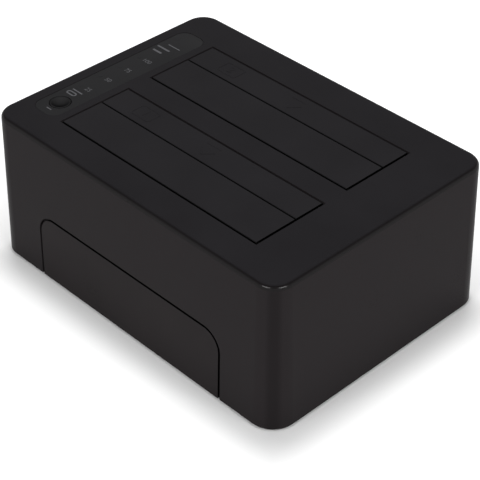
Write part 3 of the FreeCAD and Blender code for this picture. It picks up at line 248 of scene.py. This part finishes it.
def moulded(name, colour, roughness, gloss=0.02, grain=0.35 * MM, depth=0.012 * MM, shown=None,
            other=GAP_PAINTED_SHADE, painted_side_light=None, shine=0.3):
    """Moulded plastic: a mould grain, and a faint cloud in its colour and its gloss. With a way
    shown, only the faces turned that way have the colour, and the rest has the other one, a
    painted shade, near black by default as in the shade of a gap. With the painted side light
    given too, upright faces get that paler, warmer colour as painted light, with a line of
    painted shade down each corner, and rolled edges have the darkest painted shade. What is
    neither level nor upright has a coat."""
    nodes = Nodes(bpy.data.materials.new(name))
    wide = stretch(cloud(nodes, 28 * MM), 0.3, 0.7)
    fine = cloud(nodes, grain, 3.0)
    dark = [part * 0.9 for part in colour]
    pale = [part * 1.12 for part in colour]
    tone = blend(wide * 0.6 + fine * 0.4, dark, pale)
    rise = turned(nodes, (0, 0, 1))
    # Painted light and shade: paler upright faces, a darker line down each corner, darkest rolled edges.
    if painted_side_light:
        across = turned(nodes, (1, 0, 0)) * turned(nodes, (0, 1, 0))
        line = [part * CORNER_PAINTED_SHADE_SHARE for part in painted_side_light]
        upright_painted_light = blend(stretch(across * across, CORNER_FROM, CORNER_TO), painted_side_light, line)
        roll_painted_shade = [part * ROLL_PAINTED_SHADE_SHARE for part in painted_side_light]
        other = blend(stretch(rise, ROLL_FROM, ROLL_TO), upright_painted_light, roll_painted_shade)
    if shown:
        tone = blend(stretch(turned(nodes, shown), 0.85 if painted_side_light else 0.6, 0.98), other, tone)
    nodes.shader(Base_Color=tone)
    nodes.shader(Roughness=roughness + (fine - 0.5) * 0.14 + (wide - 0.5) * 0.05)
    coat = stretch(rise * (1 - rise), COAT_FROM, COAT_TO, 0, shine)
    nodes.shader(Coat_Weight=coat, Coat_Roughness=0.12)
    nodes.shader(Specular_IOR_Level=gloss, Normal=raised(fine, depth))
    return nodes.owner


def finish(material, *names):
    """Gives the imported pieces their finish."""
    for name in names:
        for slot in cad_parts[name].material_slots:
            slot.material = material


# The deck has the housing's own colour. The paler, warmer upright faces are painted light, with painted shade
# down the corners and on the rolled edges.
black_shell = moulded("satin_black_shell", (0.0118, 0.0111, 0.0123), 0.31,
                      shown=(0, 0, 1), painted_side_light=(0.0194, 0.0169, 0.0178))
finish(black_shell, "top_housing", "base_plate")

# The front panel is a separate moulding, let into the front wall and held by hooks. It is a touch
# warmer than the housing round it, and its face is bare. Its face has the same painted light as the
# housing's upright faces, and all its other faces are painted near black as shade in the groove round it.
finish(moulded("satin_black_panel", (0.0194, 0.0168, 0.0174), 0.31, shown=(0, -1, 0)), "front_panel")

# The control strip is a printed film in a shallow recess at the left end of the top. It is a
# little paler than the deck, with pale marks, and a small dark window over each level light.
film = Nodes(bpy.data.materials.new("printed_film"))
film_grain = cloud(film, 0.16 * MM, 2.0)
film_tone = stretch(cloud(film, 22 * MM), 0.3, 0.7)
film.shader(Base_Color=blend(film_tone, (0.0112, 0.0111, 0.0118), (0.0142, 0.0140, 0.0147)))
film.shader(Roughness=0.4 + (film_grain - 0.5) * 0.12, Specular_IOR_Level=0.05)
film.shader(Normal=raised(film_grain, 0.006 * MM))
finish(film.owner, "control_strip")

ink = Nodes(bpy.data.materials.new("pale_grey_ink"))
ink_grain = cloud(ink, 0.2 * MM, 3.0)
ink.shader(Base_Color=blend(ink_grain, (0.055, 0.055, 0.06), (0.09, 0.09, 0.095)), Roughness=0.6)
ink.shader(Specular_IOR_Level=0.1, Normal=raised(ink_grain, 0.004 * MM))

window_tint = Nodes(bpy.data.materials.new("smoked_window"))
window_tone = cloud(window_tint, 0.6 * MM, 2.0)
window_tint.shader(Base_Color=blend(window_tone, (0.0105, 0.0105, 0.0115), (0.0125, 0.0125, 0.0135)))
window_tint.shader(Roughness=0.3 + window_tone * 0.08, Specular_IOR_Level=0.06)

strip_low, strip_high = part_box("control_strip")
STRIP_MIDDLE = (strip_low.x + strip_high.x) / 2
PRINT_LOW = strip_high.z + 0.01 * MM
PRINT_HIGH = PRINT_LOW + 0.03 * MM
DIGIT_SHARE = 0.7


def piece_of(name, form, material, body):
    """A named piece from a finished mesh form, which rides on a body."""
    mesh = bpy.data.meshes.new(name)
    form.to_mesh(mesh)
    form.free()
    mesh.materials.append(material)
    item = bpy.data.objects.new(name, mesh)
    bpy.context.scene.collection.objects.link(item)
    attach(item, body)
    return item


def prism(form, outline, low, high):
    """Adds a solid with a flat outline between two heights."""
    top = [form.verts.new((x, y, high)) for x, y in outline]
    base = [form.verts.new((x, y, low)) for x, y in outline]
    form.faces.new(top)
    form.faces.new(list(reversed(base)))
    for first in range(len(outline)):
        second = (first + 1) % len(outline)
        form.faces.new([base[first], base[second], top[second], top[first]])


def round_outline(centre, half_x, half_y, radius, steps=6):
    """The outline of a rectangle with round corners, anticlockwise."""
    points = []
    for corner, (sx, sy) in enumerate(((1, 1), (-1, 1), (-1, -1), (1, -1))):
        for step in range(steps + 1):
            angle = math.radians(90 * corner + 90 * step / steps)
            x = centre[0] + sx * (half_x - radius) + radius * math.cos(angle)
            y = centre[1] + sy * (half_y - radius) + radius * math.sin(angle)
            points.append((x, y))
    return points


def ring(form, outer, inner, low, high):
    """Adds a closed band between two outlines of as many points, between two heights."""
    count = len(outer)
    loops = [[form.verts.new((x, y, z)) for x, y in line] for line, z in
             ((outer, low), (outer, high), (inner, high), (inner, low))]
    for turn_from in range(4):
        one, two = loops[turn_from], loops[(turn_from + 1) % 4]
        for first in range(count):
            second = (first + 1) % count
            form.faces.new([one[first], one[second], two[second], two[first]])


def bar(form, start, end, width, low, high):
    """Adds a straight stroke with square ends."""
    along = (Vector(end) - Vector(start)).normalized() * width / 2
    side = Vector((-along.y, along.x))
    first, last = Vector(start), Vector(end)
    prism(form, [first - side, last - side, last + side, first + side], low, high)


def add_curve(form, curve, shift=(0, 0, 0)):
    """Adds the solid of a curve, and drops the curve."""
    item = bpy.data.objects.new("curve", curve)
    bpy.context.scene.collection.objects.link(item)
    bpy.context.view_layer.update()
    mesh = bpy.data.meshes.new_from_object(item.evaluated_get(bpy.context.evaluated_depsgraph_get()))
    mesh.transform(Matrix.Translation(shift))
    form.from_mesh(mesh)
    bpy.data.objects.remove(item)
    bpy.data.meshes.remove(mesh)
    bpy.data.curves.remove(curve)


def number(form, words, centre, height, low, high):
    """Adds plain numbers, as flat strokes that read from the front. The height is a digit's."""
    curve = bpy.data.curves.new("number", "FONT")
    curve.body = words
    curve.size = height / DIGIT_SHARE
    curve.align_x = "CENTER"
    curve.align_y = "CENTER"
    curve.resolution_u = 3
    curve.extrude = (high - low) / 2
    add_curve(form, curve, (centre[0], centre[1], (low + high) / 2))


LIGHTS, LIGHT_FIRST, LIGHT_PITCH = 6, -18.8 * MM, 10 * MM
WINDOW_PLACE, WINDOW_HALF, WINDOW_CORNER = -66.2 * MM, 0.7 * MM, 0.2 * MM
MARK_PLACE, MARK_HEIGHT = STRIP_MIDDLE + 0.6 * MM, 2.1 * MM
RING_PLACE, RING_LINE = (-64.3 * MM, -24.9 * MM), 0.6 * MM
RING_HALF_LENGTH, RING_HALF_WIDTH = 2.5 * MM, 1.15 * MM
marks = bmesh.new()
for light_number, words in enumerate(("25", "50", "75", "100")):
    spot = (MARK_PLACE, LIGHT_FIRST + LIGHT_PITCH * light_number)
    number(marks, words, spot, MARK_HEIGHT, PRINT_LOW, PRINT_HIGH)
sizes = [(RING_HALF_LENGTH - line, RING_HALF_WIDTH - line) for line in (0, RING_LINE)]
outer, inner = [round_outline(RING_PLACE, length, width, width) for length, width in sizes]
ring(marks, outer, inner, PRINT_LOW, PRINT_HIGH)
STROKES = ((-66.4, -60.8, -22.5, 0.6), (-67.2, -62.4, 19.3, 1.0), (-68.0, -61.2, 22.5, 0.9),
           (-65.5, -59.0, 26.0, 0.5), (-63.3, -60.6, -37.8, 0.5))
for start, end, along, width in STROKES:
    bar(marks, (start * MM, along * MM), (end * MM, along * MM), width * MM, PRINT_LOW, PRINT_HIGH)
piece_of("strip_marks", marks, ink.owner, "root")

windows = bmesh.new()
for light_number in range(LIGHTS):
    spot = (WINDOW_PLACE, LIGHT_FIRST + LIGHT_PITCH * light_number)
    prism(windows, round_outline(spot, WINDOW_HALF, WINDOW_HALF, WINDOW_CORNER), PRINT_LOW, PRINT_HIGH)
piece_of("strip_windows", windows, window_tint.owner, "root")


# The copy button is a smooth round cap with a shallow dish, on a flange under the deck that holds
# it in. It is pressed from above onto the plunger of its switch. The cap carries painted shade: all
# but the faces turned to the front, the right and up are painted dark, so the front of its dish is dark.
def lathe(form, centre, profile, steps=72):
    """Adds a solid of revolution about an upright line. The profile runs from axis to axis."""
    rows = []
    for radius, z in profile:
        if radius == 0:
            rows.append([form.verts.new((centre[0], centre[1], z))])
            continue
        angles = [2 * math.pi * step / steps for step in range(steps)]
        rows.append([form.verts.new((centre[0] + radius * math.cos(a), centre[1] + radius * math.sin(a), z))
                     for a in angles])
    for lower, upper in zip(rows, rows[1:]):
        for step in range(steps):
            after = (step + 1) % steps
            loop = [lower[step % len(lower)], lower[after % len(lower)],
                    upper[after % len(upper)], upper[step % len(upper)]]
            form.faces.new(list(dict.fromkeys(loop)))


def soften(item, angle=40):
    """Shades a piece smooth, but for its sharp edges."""
    item.data.shade_smooth()
    item.data.set_sharp_from_angle(angle=math.radians(angle))


BUTTON_RADIUS, BUTTON_EDGE, BUTTON_RIM, BUTTON_DISH = 4.1 * MM, 0.15 * MM, 0.5 * MM, 0.8 * MM
FLANGE_HEIGHT = 1.0 * MM
EDGE_STEPS, DISH_STEPS = 6, 16
button_low, button_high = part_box("clone_button")
button_centre = ((button_low.x + button_high.x) / 2, (button_low.y + button_high.y) / 2)
flange_radius = (button_high.x - button_low.x) / 2
dish_radius = BUTTON_RADIUS - BUTTON_EDGE - BUTTON_RIM
profile = [(0, button_low.z), (flange_radius, button_low.z), (flange_radius, button_low.z + FLANGE_HEIGHT),
           (BUTTON_RADIUS, button_low.z + FLANGE_HEIGHT)]
for step in range(EDGE_STEPS + 1):
    angle = math.radians(90 * step / EDGE_STEPS)
    profile.append((BUTTON_RADIUS - BUTTON_EDGE * (1 - math.cos(angle)),
                    button_high.z - BUTTON_EDGE * (1 - math.sin(angle))))
for step in range(DISH_STEPS + 1):
    share = 1 - step / DISH_STEPS
    profile.append((dish_radius * share, button_high.z - BUTTON_DISH * (1 - share ** 2)))
cap = bmesh.new()
lathe(cap, button_centre, profile)
# Faces turned away from the front right and up are painted in this dark shade.
key_plastic = moulded("smooth_black_key", (0.0170, 0.0168, 0.0173), 0.4, 0.0, 0.5 * MM, 0.003 * MM,
                      shown=(0.38, -0.38, 0.843), other=(0.0030, 0.0030, 0.0032), shine=0)
copy_button = piece_of("copy_button_cap", cap, key_plastic, "clone_button")
soften(copy_button)
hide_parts("clone_button")
# The power button's cap gets the same painted shade.
finish(key_plastic, "power_button")

# Two flaps close each bay, a wide front one and a narrow back one. They are moulded in the
# housing's plastic, and each narrow one carries a faint raised number in a frame, and an arrow.
# Only the flaps' tops and the tops of their signs keep the colour. Their edges, seen in the gaps, are painted
# near black as shade.
flap_plastic = moulded("satin_black_flap", (0.0128, 0.0121, 0.0133), 0.31, shown=(0, 0, 1))
SIGN_RISE, SIGN_LINE = 0.06 * MM, 0.45 * MM
NUMBER_PLACE, NUMBER_HEIGHT = -34 * MM, 4.0 * MM
FRAME_HALF_LENGTH, FRAME_HALF_WIDTH = 5.0 * MM, 3.6 * MM
ARROW_HALF, ARROW_REACH, ARROW_SHOULDER = 3.6 * MM, 3.4 * MM, 0.6 * MM
for bay, sign in (("front_bay", "1"), ("back_bay", "2")):
    finish(flap_plastic, f"{bay}_wide_flap", f"{bay}_narrow_flap")
    flap_low, flap_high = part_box(f"{bay}_narrow_flap")
    sign_y = (flap_low.y + flap_high.y) / 2
    low, high = flap_high.z - SIGN_RISE / 2, flap_high.z + SIGN_RISE
    signs = bmesh.new()
    number_spot = (NUMBER_PLACE, sign_y)
    outer, inner = [round_outline(number_spot, FRAME_HALF_LENGTH - line, FRAME_HALF_WIDTH - line, corner)
                    for line, corner in ((0, 0.8 * MM), (SIGN_LINE, 0.5 * MM))]
    ring(signs, outer, inner, low, high)
    number(signs, sign, number_spot, NUMBER_HEIGHT, low, high)
    for side in (-ARROW_HALF, ARROW_HALF):
        bar(signs, (side, sign_y + ARROW_SHOULDER), (0, sign_y - ARROW_REACH), SIGN_LINE, low, high)
    tail = sign_y + ARROW_REACH
    bar(signs, (-ARROW_HALF, tail), (ARROW_HALF, tail), SIGN_LINE, low, high)
    piece_of(f"{bay}_signs", signs, flap_plastic, f"{bay}_narrow_flap")


# The hinge pins, the flap springs and the case screws are bright steel, drawn or turned, so their
# fine scratches run along or round them. Each spring is a coil round its pin, with one leg under
# the flap's plate.
def metal(name, colour, roughness, grain, stretch_by=(1.0, 1.0, 1.0)):
    """Bare metal with fine scratches and a faint cloud."""
    nodes = Nodes(bpy.data.materials.new(name))
    scratches = cloud(nodes, grain, 3.0, stretch_by)
    tarnish = stretch(cloud(nodes, 3 * MM), 0.35, 0.75)
    nodes.shader(Base_Color=blend(tarnish, colour, [part * 0.82 for part in colour]), Metallic=1.0)
    nodes.shader(Roughness=roughness + (scratches - 0.5) * 0.2 + tarnish * 0.06)
    nodes.shader(Normal=raised(scratches, 0.004 * MM))
    return nodes.owner


steel = metal("bright_steel", (0.58, 0.57, 0.55), 0.28, 0.2 * MM, (0.05, 1.0, 1.0))
zinc = metal("zinc_plated_steel", (0.5, 0.5, 0.49), 0.34, 0.25 * MM)
flaps = [f"{bay}_{part}" for bay in ("front_bay", "back_bay") for part in ("wide", "narrow")]
finish(steel, *[f"{flap}_pin" for flap in flaps])
WIRE, COIL, LEG = 0.3 * MM, 0.75 * MM, 6 * MM
TURNS, STEPS = 16, 14
for flap in flaps:
    way = 1 if "wide" in flap else -1
    spring_low, spring_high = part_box(f"{flap}_spring")
    line = spring_high.y - LEG if way > 0 else spring_low.y + LEG
    start, end = spring_low.x + WIRE / 2, spring_high.x - WIRE / 2
    axis_height = spring_low.z + COIL + WIRE / 2
    route = []
    for step in range(TURNS * STEPS + 1):
        angle = 2 * math.pi * way * step / STEPS - math.pi / 2
        share = step / (TURNS * STEPS)
        route.append((start + (end - start) * share, line + COIL * math.cos(angle),
                      axis_height + COIL * math.sin(angle)))
    route.append((end, line + way * LEG, axis_height - COIL))
    wire = bpy.data.curves.new("wire", "CURVE")
    wire.dimensions = "3D"
    wire.bevel_depth = WIRE / 2
    wire.bevel_resolution = 2
    wire.use_fill_caps = True
    spline = wire.splines.new("POLY")
    spline.points.add(len(route) - 1)
    for point, spot in zip(spline.points, route):
        point.co = (*spot, 1)
    coil = bmesh.new()
    add_curve(coil, wire)
    spring = piece_of(f"{flap}_coil", coil, steel, f"{flap}_flap")
    soften(spring)
    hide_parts(f"{flap}_spring")
finish(zinc, "case_screws")

# Under the deck each bay has a guide well and an upright drive socket, in plain black plastic. The
# socket's blades carry rows of gilt contacts.
inner_plastic = moulded("inner_black_plastic", (0.014, 0.014, 0.015), 0.55, 0.3, 0.4 * MM, 0.015 * MM)
socket_plastic = moulded("socket_black_plastic", (0.010, 0.010, 0.010), 0.38, 0.4, 0.3 * MM, 0.006 * MM)
gilt = metal("gilt_contacts", (0.86, 0.62, 0.27), 0.24, 0.12 * MM)
for bay in ("front_bay", "back_bay"):
    finish(inner_plastic, f"{bay}_well")
    finish(socket_plastic, f"{bay}_socket")
    finish(gilt, f"{bay}_contacts")
finish(gilt, "dc_jack_pin")

# The two boards are glass fibre under green lacquer, with copper tracks that show as paler green
# lines, and tinned holes.
board = Nodes(bpy.data.materials.new("green_circuit_board"))
VIA_PITCH, VIA_RADIUS = 3.2 * MM, 0.35 * MM
TRACK_PITCH, TRACK_WIDTH = 2.4 * MM, 0.07
via_distance = board.add("ShaderNodeTexVoronoi", None, {"Vector": place(board), "Scale": 1 / VIA_PITCH})
vias = via_distance < VIA_RADIUS / VIA_PITCH
track_distance = board.add("ShaderNodeTexVoronoi", {"feature": "DISTANCE_TO_EDGE"},
                           {"Vector": place(board), "Scale": 1 / TRACK_PITCH, "Randomness": 0.45})
tracks = track_distance < TRACK_WIDTH
lacquer = blend(tracks, (0.012, 0.075, 0.030), (0.022, 0.13, 0.045))
board.shader(Base_Color=blend(vias, lacquer, (0.45, 0.44, 0.40)), Metallic=vias)
board.shader(Roughness=0.32 + (cloud(board, 0.5 * MM) - 0.5) * 0.1, Normal=raised(tracks, 0.03 * MM, 0.6))
finish(board.owner, "main_board", "control_board")

# Black resin chips and inductors, drawn aluminium cans, and the crystal stand on the main board.
# The small ones are soldered flat, and the two tall cans stand between the bays.
resin = moulded("moulded_resin", (0.016, 0.016, 0.017), 0.5, 0.35, 0.25 * MM, 0.01 * MM)
finish(resin, "controller_chips", "inductors")
finish(metal("drawn_aluminium", (0.72, 0.72, 0.73), 0.3, 0.2 * MM, (1.0, 1.0, 0.08)), "capacitors", "crystal")

# A clear bar under the strip leads the light of six small lamps up to the film, and stands on the
# control board with the tact switch of the copy button.
clear = Nodes(bpy.data.materials.new("clear_light_guide"))
clear_tone = cloud(clear, 1.5 * MM)
clear.shader(Base_Color=blend(clear_tone, (0.80, 0.84, 0.86), (0.88, 0.90, 0.92)), Transmission_Weight=0.85)
clear.shader(Roughness=0.12 + clear_tone * 0.08, IOR=1.49)
finish(clear.owner, "light_guide")
lens = Nodes(bpy.data.materials.new("pale_lamp_resin"))
lens_tone = cloud(lens, 0.5 * MM)
lens.shader(Base_Color=blend(lens_tone, (0.78, 0.74, 0.52), (0.86, 0.83, 0.64)))
lens.shader(Roughness=0.3 + lens_tone * 0.1)
finish(lens.owner, "indicator_lamps")
finish(socket_plastic, "clone_switch", "clone_switch_plunger", "cable_plugs")

# A flat grey cable of ten wires joins the two boards, with a moulded plug at each end. Its ribs
# are the wires side by side, and its colour darkens into the grooves between them as painted shade.
cable = Nodes(bpy.data.materials.new("grey_flat_cable"))
WIRE_PITCH = 1.0 * MM
along_cable = cable.add("ShaderNodeSeparateXYZ", None, [place(cable)], 1)
ribs = cable.add("ShaderNodeMath", {"operation": "PINGPONG"}, [along_cable, WIRE_PITCH / 2])
wires = ribs / (WIRE_PITCH / 2)
# Painted shade: darker in the grooves between the wires.
cable.shader(Base_Color=blend(wires, (0.16, 0.16, 0.17), (0.30, 0.30, 0.31)), Roughness=0.5 + wires * 0.05)
cable.shader(Normal=raised(wires, 0.15 * MM, 0.7))
finish(cable.owner, "flat_cable")

# The back wall holds the inlets and the power switch: a nickel plated shell with its black
# insulator, a round power inlet, and a switch whose cap stands in a round recess.
shell = metal("nickel_plate", (0.66, 0.64, 0.60), 0.22, 0.3 * MM)
finish(shell, "usb_socket")
finish(socket_plastic, "usb_insulator", "dc_jack", "power_switch")

# Four soft rubber pads are stuck in shallow seats under the base plate. They carry the dock, and
# their skin has a coarse dull grain.
rubber = Nodes(bpy.data.materials.new("soft_black_rubber"))
rubber_grain = cloud(rubber, 0.5 * MM, 4.0)
rubber.shader(Base_Color=blend(rubber_grain, (0.016, 0.016, 0.016), (0.028, 0.028, 0.028)))
rubber.shader(Roughness=0.82 + (rubber_grain - 0.5) * 0.1, Normal=raised(rubber_grain, 0.02 * MM))
rubber.shader(Specular_IOR_Level=0.25)
finish(rubber.owner, "rubber_feet")
